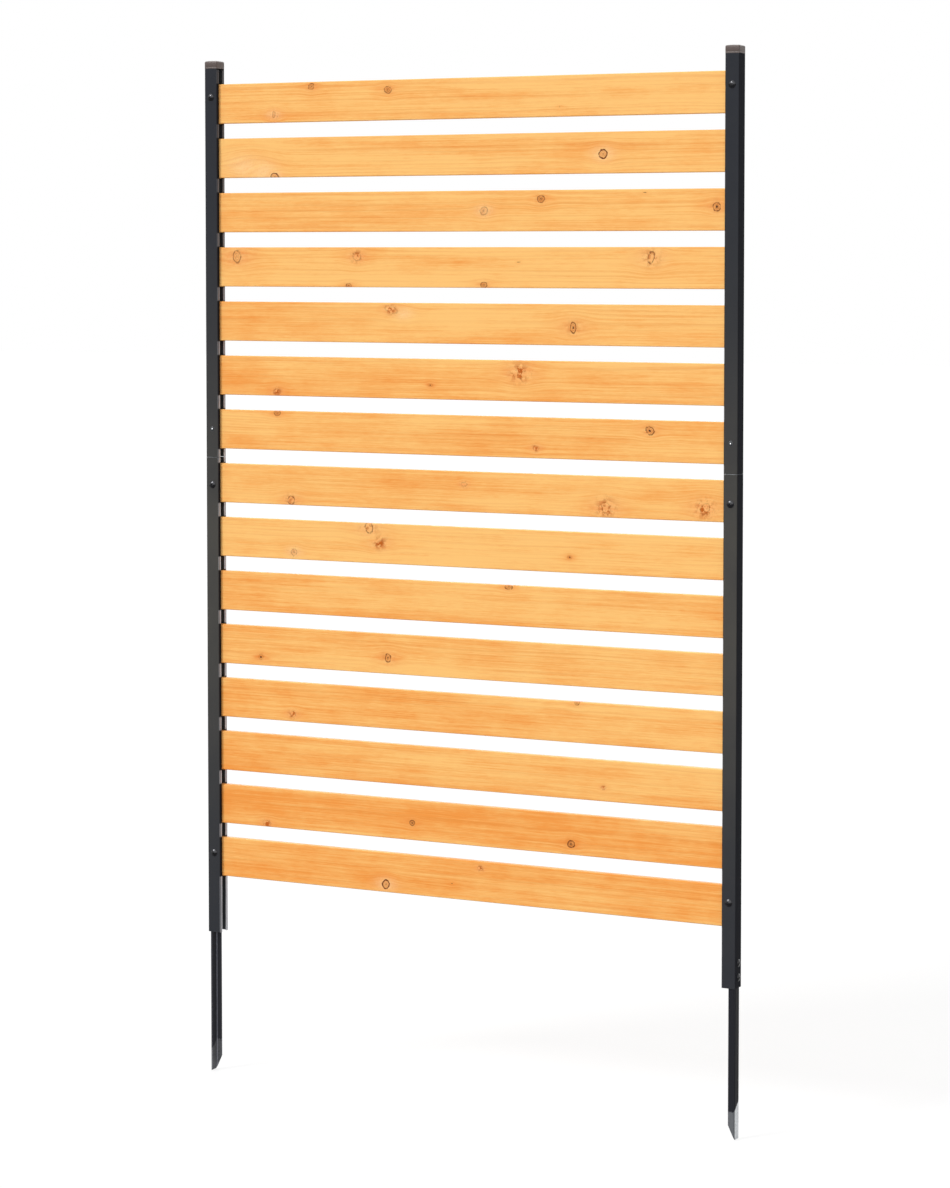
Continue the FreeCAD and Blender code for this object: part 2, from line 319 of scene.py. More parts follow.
# How strongly each layer shows, by kind of knot, in the order above
knotKinds = {
    "ringed": (0.4, 1.2, 1.0, 0.0, 0.3, 1.8, 0.2, 0.3),
    "solid": (0.8, 0.1, 0.9, 0.4, 0.75, 0.9, 0.5, 0.6),
    "eye": (0.9, 0.2, 0.6, 0.4, 0.6, 1.1, 0.3, 1.6),
    "open": (0.6, 0.4, 0.2, 0.8, 0.0, 0.9, 0.5, 0.0),
    "spot": (1.4, 0.1, 0.6, 0.3, 0.2, 0.2, 0.3, 3.0),
    "flame": (1.0, 0.4, 0.0, 1.4, 0.0, 0.3, 1.2, 0.0),
    "soft": (1.0, 0.4, 0.35, 0.2, 0.4, 0.8, 0.4, 0.3),
    "bloom": (0.1, 1.0, 0.0, 0.0, 0.0, 0.0, 0.2, 0.0),
    "cracked": (0.5, 1.0, 0.3, 0.4, 0.3, 0.5, 1.2, 0.3),
    "dark": (1.2, 0.0, 1.0, 0.4, 1.0, 1.6, 0.4, 2.0),
    "dash": (0.4, 0.0, 0.0, 0.0, 0.0, 0.0, 0.0, 1.2),
}
knotLook = {
    "wobbles": ((0.22, 0.5), (0.75, 0.2)),  # scale and depth of the outline's slow and fine wobble
    "rimFrom": 1.0, "rimTo": 0.84,          # shares of the radius between which the heart ends
    "ringWave": 15.0,                       # radians per radius
    "bend": -0.72,                          # how far the grain gives way to the knot
}

# Each board: tone from pale 0 to deep 1, how much deeper its left end is, pith (back, up) from the
# board's middle and ring width in mm, and knots as
# (along from the middle, up from the lower edge, half height, stretch, tilt in degrees, kind)
boards = [
    (0.12, 0.35, (60, -95), 4.2, [
        (-321, 12, 5.0, 0.5, 0, "cracked"), (-256, 53, 4.5, 1.1, 20, "solid"),
        (-125, 45, 5.0, 1.2, -20, "solid"), (158, 14, 2.0, 1.6, 0, "dash")]),
    (0.22, -0.05, (40, -70), 5.0, [
        (227, 28, 6.6, 1.0, 0, "ringed"), (-320, 1, 5.5, 1.2, 0, "ringed"),
        (-374, 17, 11.0, 1.4, 0, "bloom"), (-340, 10, 9.0, 1.4, 0, "bloom")]),
    (0.22, 0.15, (75, 60), 3.4, [
        (128, 47, 5.2, 1.1, 0, "solid"), (35, 30, 5.5, 1.2, 30, "cracked"),
        (404, 34, 6.0, 0.95, 15, "eye"), (293, 55, 1.6, 6.0, 0, "dash")]),
    (0.12, 0.15, (50, 90), 4.6, [
        (-387, 46, 9.4, 0.7, 5, "soft"), (-178, 46, 6.0, 1.2, -30, "flame"),
        (-192, 2, 4.0, 1.1, 0, "solid"), (35, 4, 4.6, 1.1, 0, "solid"),
        (303, 45, 9.0, 0.55, -14, "open"), (92, 38, 1.4, 8.0, 3, "dash")]),
    (0.26, 0.35, (38, -60), 5.2, [
        (-120, 50, 5.0, 2.2, -15, "flame"), (180, 26, 8.0, 0.55, 0, "eye"),
        (-98, 44, 5.5, 1.2, 0, "bloom")]),
    (0.38, 0.3, (80, 50), 3.6, [
        (93, 42, 9.0, 0.4, 12, "flame"), (-317, 6, 4.5, 1.3, 0, "flame"),
        (-54, 21, 2.5, 1.6, 0, "spot")]),
    (0.30, 0.15, (55, -85), 4.4, [
        (-317, 57, 4.5, 1.2, 0, "solid"), (302, 45, 5.5, 1.3, -35, "eye"),
        (120, 15, 3.5, 1.4, 0, "flame")]),
    (0.32, 0.05, (42, 75), 3.2, [
        (-293, 7, 6.5, 0.9, 0, "open"), (2, 41, 3.0, 1.6, 0, "flame"),
        (233, 14, 9.0, 0.7, 20, "flame"), (388, 18, 9.0, 0.7, -30, "flame")]),
    (0.14, 0.0, (65, 100), 4.8, [
        (-158, 54, 9.0, 0.7, 10, "open"), (-140, 34, 7.0, 0.6, -40, "flame"),
        (-288, 11, 5.0, 1.0, 0, "cracked"), (175, 23, 2.5, 1.6, 0, "spot")]),
    (0.42, 0.2, (90, 55), 4.0, [
        (76, 58, 4.0, 1.5, 0, "solid")]),
    (0.30, 0.4, (100, -70), 3.8, [
        (-347, 13, 4.2, 1.1, 0, "spot"), (-126, 24, 6.5, 0.7, 0, "eye")]),
    (0.38, 0.3, (48, -80), 4.4, [
        (-291, 11, 4.4, 1.1, 0, "flame"), (187, 59, 3.5, 1.3, 0, "solid")]),
    (0.42, 0.5, (44, 66), 5.0, [
        (230, 20, 2.2, 1.8, 0, "flame")]),
    (0.6, 0.15, (36, -72), 4.6, [
        (-85, 26, 3.8, 1.1, 0, "dark"), (178, 16, 5.0, 1.1, 0, "dark"),
        (-337, 5, 4.5, 1.4, 0, "flame")]),
    (0.58, 0.1, (46, 80), 4.2, [
        (-130, 12, 6.6, 0.9, -20, "ringed"), (29, 50, 3.0, 1.6, 0, "flame"),
        (-18, 23, 1.6, 3.0, 0, "dash")]),
]


def makeKnotField():
    # One knot: bends the grain round itself and gives a mask for each of its layers. The masks'
    # limits are shares of its radius or of a noise
    inputs = {"Point": (0, 0, 0), "Centre": (0, 0, 0), "Size": 5.0, "Stretch": 1.0, "Tilt": 0.0,
              **dict.fromkeys(knotLayers, 0.5)}
    tree, given, result = newGroup(
        "knotField", inputs, {"Point": "Vector", **dict.fromkeys(knotLayers, "Float")})
    point, size = given["Point"], given["Size"]
    offset = vectorCalc(tree, "SUBTRACT", point, given["Centre"])
    turned = split(tree, addNode(tree, "VectorRotate", {"Vector": offset, "Angle": given["Tilt"]},
                                 rotation_type="Y_AXIS").outputs[0])
    offset = split(tree, offset)

    def sumOfSquares(first, second):
        return calc(tree, "MULTIPLY_ADD", first, first, product(tree, second, second))

    def spread(wide, high):  # soft bump that fades along and across the grain, in knot sizes
        total = sumOfSquares(calc(tree, "DIVIDE", offset["X"], product(tree, size, wide)),
                             calc(tree, "DIVIDE", offset["Z"], product(tree, size, high)))
        return calc(tree, "EXPONENT", product(tree, total, -1.0))

    def patches(scale, detail, roughness, *limits):
        return ramp(tree, noise(tree, point, scale, detail, roughness), *limits)

    radius = calc(tree, "SQRT", sumOfSquares(
        calc(tree, "DIVIDE", turned["X"], product(tree, size, given["Stretch"])),
        calc(tree, "DIVIDE", turned["Z"], size)))
    for scale, depth in knotLook["wobbles"]:
        wobble = calc(tree, "SUBTRACT", noise(tree, point, scale, 1.0), 0.5)
        radius = calc(tree, "MULTIPLY_ADD", wobble, depth, radius)
    inside = ramp(tree, radius, knotLook["rimFrom"], knotLook["rimTo"])
    mottle = patches(0.4, 3.0, 0.5, 0.3, 0.7, 0.55, 1.0)
    wave = calc(tree, "SINE", product(tree, radius, knotLook["ringWave"]))
    streak = vectorCalc(tree, "MULTIPLY", point, (0.05, 0.2, 0.2))
    streak = ramp(tree, noise(tree, streak, 1.0, 3.0), 0.35, 0.65, 0.4, 1.0)
    masks = {
        "Halo": (spread(4.0, 1.7), streak),
        "Pale": (spread(2.6, 1.5), mottle),
        "Heart": (inside, mottle),
        "Flame": (patches(0.13, 4.0, 0.6, 0.46, 0.58), spread(1.4, 1.3)),
        "Rings": (inside, ramp(tree, wave, -0.1, 0.9)),
        "Bark": (ramp(tree, radius, 0.74, 0.95), ramp(tree, radius, 1.2, 1.0),
                 patches(0.26, 2.0, 0.5, 0.3, 0.55, 0.3, 1.0)),
        "Flecks": (patches(0.5, 3.0, 0.6, 0.6, 0.68), spread(1.9, 1.6)),
        "Core": (ramp(tree, radius, 0.34, 0.14),),
    }
    for layer, factors in masks.items():
        tree.links.new(product(tree, *factors, given[layer]), result[layer])
    lift = product(tree, offset["Z"], spread(3.4, 2.4), knotLook["bend"])
    bend = addNode(tree, "CombineXYZ", {"Z": lift}).outputs[0]
    tree.links.new(vectorCalc(tree, "ADD", point, bend), result["Point"])
    return tree


def makeBoardGrain():
    # Growth rings round a pith line beside the board, cut by the board's faces
    tree, given, result = newGroup(
        "boardGrain",
        {"Point": (0, 0, 0), "Pith": (0, 0, 0), "Ring Width": 4.0, "Wander": 6.0, "Seed": 0.0},
        dict.fromkeys(("Ring", *grainNoises), "Float"))
    seed = addNode(tree, "CombineXYZ", dict.fromkeys("XYZ", given["Seed"])).outputs[0]
    shift = vectorCalc(tree, "MULTIPLY", seed, (17.3, 5.1, 9.7))

    def grainNoise(along, across, *settings, output="Fac"):  # the grain runs along X
        place = vectorCalc(tree, "MULTIPLY", given["Point"], (along, across, across))
        place = vectorCalc(tree, "ADD", place, shift)
        return noise(tree, place, 1.0, *settings, output=output)

    drift = grainNoise(0.0042, 0.02, output="Color")
    drift = vectorCalc(tree, "SUBTRACT", drift, (0.5, 0.5, 0.5))
    drift = addNode(tree, "VectorMath", {"Vector": drift, "Scale": given["Wander"]},
                    operation="SCALE").outputs[0]
    fromPith = vectorCalc(tree, "SUBTRACT", vectorCalc(tree, "ADD", given["Point"], drift),
                          given["Pith"])
    distance = vectorCalc(tree, "LENGTH", vectorCalc(tree, "MULTIPLY", fromPith, (0, 1, 1)))
    phase = calc(tree, "DIVIDE", distance, given["Ring Width"])
    uneven = addNode(tree, "TexNoise", {"W": calc(tree, "ADD", phase, given["Seed"]),
                                        "Scale": 0.37, "Detail": 2.0}, noise_dimensions="1D")
    phase = calc(tree, "MULTIPLY_ADD", uneven.outputs["Fac"], 2.0, phase)
    part = calc(tree, "FRACT", phase)
    late = product(tree, ramp(tree, part, 0.35, 0.9), ramp(tree, part, 1.0, 0.93))
    ringNumber = calc(tree, "ADD", calc(tree, "FLOOR", phase), given["Seed"])
    strength = addNode(tree, "TexWhiteNoise", {"W": ringNumber}, noise_dimensions="1D")
    strength = ramp(tree, strength.outputs["Value"], 0.0, 1.0, 0.2, 1.0)
    fade = ramp(tree, grainNoise(0.006, 0.05), 0.3, 0.7, 0.3, 1.0)
    tree.links.new(product(tree, late, strength, fade), result["Ring"])
    for name, (*settings, share) in grainNoises.items():
        tree.links.new(grainNoise(*settings), result[name])
    return tree


knotField = makeKnotField()
boardGrain = makeBoardGrain()


def knotMasks(tree, point, knots, halfHeight):
    masks = dict.fromkeys(knotLayers, 0.0)
    for along, up, size, stretch, tilt, kind in knots:
        knot = useGroup(tree, knotField, {
            "Point": point, "Centre": (along, 0, up - halfHeight), "Size": size,
            "Stretch": stretch, "Tilt": math.radians(tilt),
            **dict(zip(knotLayers, knotKinds[kind]))})
        point = knot["Point"]
        for layer, soFar in masks.items():
            masks[layer] = calc(tree, "MAXIMUM", knot[layer], soFar)
    return point, masks


def makeBoardMaterial(number, board):
    startTone, deeperLeft, pith, ringWidth, knots = board
    low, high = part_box(f"slat_{number:02d}")
    halfHeight = (high.z - low.z) / 2 / mm
    material, tree, shader = newMaterial(f"honeyBoard{number:02d}",
                                         Specular_IOR_Level=boardLook["specular"])
    start = pointInMillimetres(tree, (low + high) / 2)
    point, masks = knotMasks(tree, start, knots, halfHeight)
    grain = useGroup(tree, boardGrain, {
        "Point": point, "Pith": (0, *pith), "Ring Width": ringWidth,
        "Wander": boardLook["wander"], "Seed": number * boardLook["seedStep"]})
    slope = -deeperLeft / (high.x - low.x) * mm
    tone = calc(tree, "MULTIPLY_ADD", split(tree, start)["X"], slope, startTone)
    for name, (*settings, share) in grainNoises.items():
        tone = calc(tree, "MULTIPLY_ADD", calc(tree, "SUBTRACT", grain[name], 0.5), share, tone)
    colour = mixColours(tree, tone, boardLook["pale"], boardLook["deep"])
    lateWood = product(tree, grain["Ring"], boardLook["lateWoodCover"])
    colour = mixColours(tree, lateWood, colour, boardLook["lateWood"])
    for layer, (shade, cover) in knotLayers.items():
        colour = mixColours(tree, product(tree, masks[layer], cover), colour, shade)
    worn = product(tree, wornEdges(tree, start, boardLook), boardLook["wornCover"])
    colour = mixColours(tree, worn, colour, boardLook["pale"])
    rough = calc(tree, "MULTIPLY_ADD", grain["Fibre"], boardLook["fibreRoughness"],
                 boardLook["roughness"])
    rough = calc(tree, "MULTIPLY_ADD", grain["Ring"], boardLook["ringRoughness"], rough)
    height = calc(tree, "MULTIPLY_ADD", grain["Ring"], boardLook["ringHeight"], grain["Fibre"])
    height = calc(tree, "MULTIPLY_ADD", masks["Bark"], boardLook["barkHeight"], height)
    endSurface(tree, shader, colour, rough, height, boardLook)
    return material


for number, board in enumerate(boards, 1):
    dress(f"slat_{number:02d}", makeBoardMaterial(number, board))
print("boards dressed:", len(boards))


# Posts, powder-coated

postLook = {
    "coat": tint(50, 52, 57),
    # The side colour is painted shade, the pale edge colour is partly a painted highlight, the
    # dark lip colour is painted shade and the bright lip colour is a painted reflection
    "coatSideShade": tint(42, 43, 48),
    "wornEdgeHighlightAndInside": tint(84, 86, 90),
    "paleBand": tint(150, 142, 120),
    "dust": tint(120, 118, 114),
    "contactShade": tint(24, 22, 20),
    "gapReflection": tint(240, 240, 245),
    "wornCover": 0.7, "contactShadeCover": 0.7, "gapReflectionMetallic": 0.2,
    "dustAmount": 0.06, "dustRoughness": 0.5,
    "paleBandHeight": 560.0, "paleBandSpread": 330.0, "paleBandAmount": 0.13,
    # mm from the middle planes: the lips' face is nearer the boards than lipFace, its painted
    # reflection full up to lipFull and least from lipEnd; innerFace and innerDepth are the inside
    # of the sheet
    "lipFace": 419.3, "lipFull": 6.6, "lipEnd": 10.4, "lipLeast": 0.3,
    "innerFace": 438.85, "innerDepth": 10.35,
    "lipBlur": 0.3, "sheetBlur": 0.1, "footBlur": 2.0,
    "gapBlur": 0.03,            # share of the boards' pitch
    "reflectionLow": 600.0, "reflectionHigh": 1330.0, "reflectionTop": 0.22,     # mm: the painted reflection is full low down, faint at the top
    "grain": 0.5, "ripple": 5.0, "wearWidth": 0.9, "wearBreak": 0.6,
    "ior": 1.045, "roughness": 0.46, "speckle": 0.12, "relief": 0.05,
}


def makeGapMask(tree, height):
    # 1 beside the gaps between the boards and below the lowest board
    lowest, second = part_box("slat_15"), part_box("slat_14")
    foot, pitch = lowest[0].z / mm, (second[0].z - lowest[0].z) / mm
    boardShare = (lowest[1].z - lowest[0].z) / mm / pitch
    share = calc(tree, "DIVIDE", calc(tree, "SUBTRACT", height, foot), pitch)
    share = calc(tree, "FRACT", share)
    blur = postLook["gapBlur"]
    gap = product(tree, ramp(tree, share, boardShare, boardShare + blur),
                  ramp(tree, share, 1.0, 1.0 - blur))
    return calc(tree, "MAXIMUM", gap, ramp(tree, height, foot, foot - postLook["footBlur"]))


def makePostMaterial():
    material, tree, shader = newMaterial("charcoalCoat", IOR=postLook["ior"])
    point, skin, worn = startSurface(tree, postLook)
    place = split(tree, point)
    across, deep = (calc(tree, "ABSOLUTE", place[axis]) for axis in "XY")
    film = useGroup(tree, dust, {"Point": point, "Amount": postLook["dustAmount"]})["Mask"]
    sideways = split(tree, surfaceNormal(tree))["X"]
    sideways = ramp(tree, calc(tree, "ABSOLUTE", sideways), 0.5, 0.9)
    # The sides are painted darker than the front, as shade, and the front is a little paler and
    # warmer between knee and hip height
    rise = calc(tree, "SUBTRACT", place["Z"], postLook["paleBandHeight"])
    rise = calc(tree, "DIVIDE", rise, postLook["paleBandSpread"])
    cloud = ramp(tree, noise(tree, point, 0.012, 4.0), 0.2, 0.7, 0.8, 1.15)
    paleBand = product(tree, calc(tree, "EXPONENT", product(tree, rise, rise, -1.0)), cloud,
                    postLook["paleBandAmount"], opposite(tree, sideways))
    # The lips' faces take a painted reflection of the white surroundings in the gaps, and painted
    # shade beside the boards
    onLip = ramp(tree, across, postLook["lipFace"], postLook["lipFace"] - postLook["lipBlur"])
    strip = product(tree, onLip, ramp(tree, deep, postLook["lipEnd"], postLook["lipFull"],
                                      postLook["lipLeast"], 1.0))
    gap = product(tree, makeGapMask(tree, place["Z"]),
                  ramp(tree, place["Z"], postLook["reflectionLow"], postLook["reflectionHigh"], 1.0,
                       postLook["reflectionTop"]))
    streaks = vectorCalc(tree, "MULTIPLY", point, (0.5, 0.5, 0.012))
    broken = ramp(tree, noise(tree, streaks, 1.0, 3.0), 0.3, 0.55, 0.7, 1.0)
    gapShine = product(tree, strip, gap, broken)
    contactShade = product(tree, strip, opposite(tree, gap), postLook["contactShadeCover"])
    # Inside the channel the coat is paler
    inside = [ramp(tree, distance, postLook[limit] + postLook["sheetBlur"], postLook[limit])
              for distance, limit in ((across, "innerFace"), (deep, "innerDepth"))]
    inside = product(tree, *inside, opposite(tree, onLip))
    # Worn edges, partly a painted highlight along the bends, and the channel's inside take the
    # paler colour
    bare = calc(tree, "MAXIMUM", product(tree, worn, postLook["wornCover"]), inside)
    colour = mixColours(tree, sideways, postLook["coat"], postLook["coatSideShade"])
    for mask, shade in ((bare, "wornEdgeHighlightAndInside"), (paleBand, "paleBand"), (film, "dust"), (contactShade, "contactShade"),
                        (gapShine, "gapReflection")):
        colour = mixColours(tree, mask, colour, postLook[shade])
    tree.links.new(product(tree, gapShine, postLook["gapReflectionMetallic"]), shader.inputs["Metallic"])
    rough = calc(tree, "MULTIPLY_ADD", film, postLook["dustRoughness"],
                 speckledRoughness(tree, skin, postLook))
    endSurface(tree, shader, colour, rough, skin["Height"], postLook)
    return material


charcoalCoat = makePostMaterial()
for section in ("upper", "lower"):
    for side in ("left", "right"):
        dress(f"post_{section}_{side}", charcoalCoat)
print("posts dressed")


# Caps, moulded plastic

capLook = {
    "plastic": tint(69, 56, 52),
    "pale": tint(140, 125, 119),
    "dust": tint(158, 150, 140),
    # The pale colour on the sides is painted sheen
    "paleSpecks": 0.2, "paleEdges": 0.4, "sheenOnSides": 0.32, "dustAmount": 0.2,
    "grain": 0.4, "ripple": 9.0, "wearWidth": 0.8, "wearBreak": 0.5,
    "roughness": 0.42, "speckle": 0.15, "relief": 0.06,
}
capSizes = {  # mm
    "rim": 2.2, "corner": 1.6, "crown": 0.6, "parting": 2.2, "groove": 0.2, "grooveDepth": 0.12,
    "foot": 0.25, "spigotLap": 0.5, "least": 0.1,
}
cornerGrowth = 1.4              # corner radius per inset, on the way in over the top
# Rows of the crowned top: mm in from the side, and share of the crown's height
crownRows = ((3.2, 0.55), (5.0, 0.85), (7.5, 1.0))


def makeCapMaterial():
    material, tree, shader = newMaterial("mouldedCap")
    point, skin, worn = startSurface(tree, capLook)
    film = useGroup(tree, dust, {"Point": point, "Amount": capLook["dustAmount"]})["Mask"]
    # The outer and inner sides are painted paler than the front, as sheen
    sideways = calc(tree, "ABSOLUTE", split(tree, surfaceNormal(tree))["X"])
    colour = capLook["plastic"]
    for mask in (product(tree, skin["Speck"], capLook["paleSpecks"]),
                 product(tree, worn, capLook["paleEdges"]),
                 ramp(tree, sideways, 0.5, 1.0, 0.0, capLook["sheenOnSides"])):
        colour = mixColours(tree, mask, colour, capLook["pale"])
    colour = mixColours(tree, film, colour, capLook["dust"])
    endSurface(tree, shader, colour, speckledRoughness(tree, skin, capLook), skin["Height"],
               capLook)
    return material


def makeCapBody(low, high, base):
    # Rounded block over the post: corner arcs in plan, rim arc in section, slightly crowned top
    rim, corner, crown, parting, groove, grooveDepth, foot, least = (
        capSizes[name] * mm for name in ("rim", "corner", "crown", "parting", "groove",
                                         "grooveDepth", "foot", "least"))
    steps = 6
    middle = (low + high) / 2
    halfX, halfY = (high.x - low.x) / 2, (high.y - low.y) / 2
    top = high.z - crown - rim

    def outline(inset, height):
        radius = cornerGrowth * inset if inset > corner else corner
        radius = min(radius, min(halfX, halfY) - inset - least)
        ring = []
        for number, (signX, signY) in enumerate(((1, 1), (-1, 1), (-1, -1), (1, -1))):
            for step in range(steps + 1):
                angle = math.radians(90 * number + 90 * step / steps)
                x = signX * (halfX - inset - radius) + radius * math.cos(angle)
                y = signY * (halfY - inset - radius) + radius * math.sin(angle)
                ring.append((middle.x + x, middle.y + y, height))
        return ring

    parting += base
    rows = [outline(foot, base), outline(0, base + foot), outline(0, parting - groove),
            outline(grooveDepth, parting), outline(0, parting + groove), outline(0, top)]
    for step in range(1, steps + 1):
        angle = math.radians(90 * step / steps)
        rows.append(outline(rim * (1 - math.cos(angle)), top + rim * math.sin(angle)))
    for inset, rise in crownRows:
        rows.append(outline(inset * mm, high.z - crown * (1 - rise)))
    shape = bmesh.new()
    return joinRings(shape, [[shape.verts.new(point) for point in row] for row in rows])


def makeCap(side, material):
    # The spigot under the cap is the CAD one; only the visible head is finer
    node = f"cap_{side}"
    low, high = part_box(node)
    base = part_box(f"post_upper_{side}")[1].z
    spigot = weldedShape(node)
    everything = list(spigot.verts) + list(spigot.edges) + list(spigot.faces)
    cutHeight = base + capSizes["spigotLap"] * mm
    bmesh.ops.bisect_plane(spigot, geom=everything, plane_co=(0, 0, cutHeight),
                           plane_no=(0, 0, 1), clear_outer=True)
    cut = [edge for edge in spigot.edges if edge.is_boundary]
    bmesh.ops.holes_fill(spigot, edges=cut)
    headLow = Vector((low.x, low.y, base))
    spigot.from_mesh(toMesh(makeCapBody(headLow, high, base), "capHead"))
    addPiece(f"roundedCap_{side}", toMesh(spigot, "cap"), [material], node)


mouldedCap = makeCapMaterial()
for side in ("left", "right"):
    makeCap(side, mouldedCap)
print("caps made")


# Stakes, dipped black with a bare zinc point

stakeLook = {
    # The pale grey serves scuffs and painted highlight; the bright zinc shows where a painted
    # reflection falls
    "scuffAndHighlightGrey": tint(128, 130, 140),
    "zinc": tint(206, 209, 212),
    "zincDark": tint(76, 78, 82),
    "slope": 0.9,               # how far the coat's lower edge slants over the angle
    "ragged": 9.0,              # mm by which that edge wanders
    "coatFull": 5.5, "coatGone": 3.5,       # mm above the bare height
    "thick": 2.0,               # mm of the steel, to find the angle's inner corner
    "cornerEnd": 1.9, "cornerFull": 0.9,    # mm: reach of the painted highlight in that corner
    "backLeg": -7.6, "frontLeg": -8.4, "frontShine": 0.1,   # mm along Y
    "bareMetallic": 0.8,
    "grain": 0.7, "ripple": 8.0, "wearWidth": 0.8, "wearBreak": 0.5,
    "ior": 1.1, "roughness": 0.36, "speckle": 0.14, "relief": 0.05,
}
# Each stake's coat, where it ends in mm above the tip, how bare the metal is below that, how
# strong the scuffs and painted highlight along its edges are, and the painted highlight in its
# inner corner
stakeWearAndLight = {
    "stake_right": {"coat": tint(38, 39, 44), "bareHeight": 50.0, "bare": 1.0, "edgeScuffAndHighlight": 0.35,
                    "corner": 0.3},
    # The left stake's coat is painted lighter than the right one's, as light in the shade of its
    # angle
    "stake_left": {"coat": tint(64, 65, 70), "bareHeight": 40.0, "bare": 0.2, "edgeScuffAndHighlight": 0.5,
                   "corner": 1.0},
}


def makeStakeMaterial(node, wearAndLight):
    low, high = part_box(node)
    material, tree, shader = newMaterial(node + "Coat", IOR=stakeLook["ior"])
    point, skin, worn = startSurface(tree, stakeLook)
    place = split(tree, point)
    ragged = noise(tree, point, 0.22, 4.0, 0.6)
    line = calc(tree, "MULTIPLY_ADD", place["Y"], -stakeLook["slope"], place["Z"])
    line = calc(tree, "MULTIPLY_ADD", ragged, stakeLook["ragged"], line)
    coatEnd = low.z / mm + wearAndLight["bareHeight"]
    bare = ramp(tree, line, coatEnd + stakeLook["coatFull"], coatEnd + stakeLook["coatGone"],
                0.0, wearAndLight["bare"])
    # The bare zinc is painted grey on the leg that faces forward and bright on the other, as a
    # painted reflection
    turned = ramp(tree, place["Y"], stakeLook["backLeg"], stakeLook["frontLeg"], 1.0,
                  stakeLook["frontShine"])
    legReflection = product(tree, ramp(tree, noise(tree, point, 0.35, 5.0, 0.7), 0.25, 0.5), turned)
    zinc = mixColours(tree, legReflection, stakeLook["zincDark"], stakeLook["zinc"])
    # Painted highlight in the angle's inner corner; along the edges, scuffs with painted highlight
    sign = math.copysign(1, low.x)
    innerX = (low.x if sign < 0 else high.x) / mm - sign * stakeLook["thick"]
    innerY = (high.y if sign < 0 else low.y) / mm + sign * stakeLook["thick"]
    fromCorner = vectorCalc(tree, "SUBTRACT", point, (innerX, innerY, 0))
    fromCorner = vectorCalc(tree, "LENGTH", vectorCalc(tree, "MULTIPLY", fromCorner, (1, 1, 0)))
    corner = ramp(tree, fromCorner, stakeLook["cornerEnd"], stakeLook["cornerFull"], 0.0,
                  wearAndLight["corner"])
    corner = product(tree, corner, ramp(tree, ragged, 0.3, 0.5, 0.75, 1.0))
    coat = wearAndLight["coat"]
    for mask in (product(tree, worn, wearAndLight["edgeScuffAndHighlight"]), corner):
        coat = mixColours(tree, mask, coat, stakeLook["scuffAndHighlightGrey"])
    tree.links.new(product(tree, bare, stakeLook["bareMetallic"]), shader.inputs["Metallic"])
    endSurface(tree, shader, mixColours(tree, bare, coat, zinc),
               speckledRoughness(tree, skin, stakeLook), skin["Height"], stakeLook)
    return material


for node, wearAndLight in stakeWearAndLight.items():
    dress(node, makeStakeMaterial(node, wearAndLight))
print("stakes dressed")


# Inner pieces: zinc-plated joiners and nuts, plastic spacers

zincLook = {
    "base": tint(138, 142, 150), "worn": tint(176, 180, 184), "wornCover": 0.5,
    "dull": 0.5, "polished": 0.28,
    "grain": 0.8, "ripple": 4.0, "wearWidth": 0.5, "wearBreak": 0.4,
    "metallic": 0.9, "relief": 0.02,
}
spacerLook = {
    "base": tint(30, 30, 31), "worn": tint(58, 58, 58), "wornCover": 0.5,
    "grain": 0.5, "ripple": 3.0, "wearWidth": 0.4, "wearBreak": 0.3,
    "specular": 0.35, "roughness": 0.45, "speckle": 0.2, "relief": 0.04,
}


def endWornSurface(tree, shader, skin, worn, colour, look, rough=None):
    # The usual end: paler worn edges over the colour, and roughness from the specks
    colour = mixColours(tree, product(tree, worn, look["wornCover"]), colour, look["worn"])
    if rough is None:
        rough = speckledRoughness(tree, skin, look)
    endSurface(tree, shader, colour, rough, skin["Height"], look)


def makeZincMaterial():
    material, tree, shader = newMaterial("zincPlate", Metallic=zincLook["metallic"])
    point, skin, worn = startSurface(tree, zincLook)
    bloom = noise(tree, point, 0.12, 4.0, 0.6)
    colour = mixColours(tree, ramp(tree, bloom, 0.35, 0.7), zincLook["base"], zincLook["worn"])
    rough = ramp(tree, bloom, 0.2, 0.8, zincLook["dull"], zincLook["polished"])
    endWornSurface(tree, shader, skin, worn, colour, zincLook, rough)
    return material


def makePlainMaterial(name, look, **plain):
    material, tree, shader = newMaterial(name, **plain)
    point, skin, worn = startSurface(tree, look)
    endWornSurface(tree, shader, skin, worn, look["base"], look)
    return material


zincPlate = makeZincMaterial()
spacerPlastic = makePlainMaterial("spacerPlastic", spacerLook,
                                  Specular_IOR_Level=spacerLook["specular"])
for side in ("left", "right"):
    dress(f"joiner_{side}", zincPlate)
    dress(f"slat_spacers_{side}", spacerPlastic)
print("inner pieces dressed")


# Fastener meshes. Each is made once with its seat at zero and its head towards +Z, in mm.

def addRing(shape, height, radii):  # one vertex at each radius, evenly round the axis
    ring = []
    for step, radius in enumerate(radii):
        angle = 2 * math.pi * step / len(radii)
        ring.append(shape.verts.new((radius * math.cos(angle), radius * math.sin(angle),
                                     height)))
    return ring


def turnProfile(profile, segments=48):
    # Closed solid of revolution from (radius, height) points that begin and end on the axis
    shape = bmesh.new()
    return joinRings(shape, [addRing(shape, height, [radius] * (segments if radius else 1))
                             for radius, height in profile])


def domePoints(rim, low, high, steps=8):  # from the rim up to the axis on one round arc
    rise = high - low
    radius = (rim ** 2 + rise ** 2) / (2 * rise)
    start = math.acos(rim / radius)
    points = []
    for step in range(steps):
        angle = start + (math.pi / 2 - start) * step / steps
        points.append((radius * math.cos(angle), high - radius + radius * math.sin(angle)))
    return points + [(0, high)]


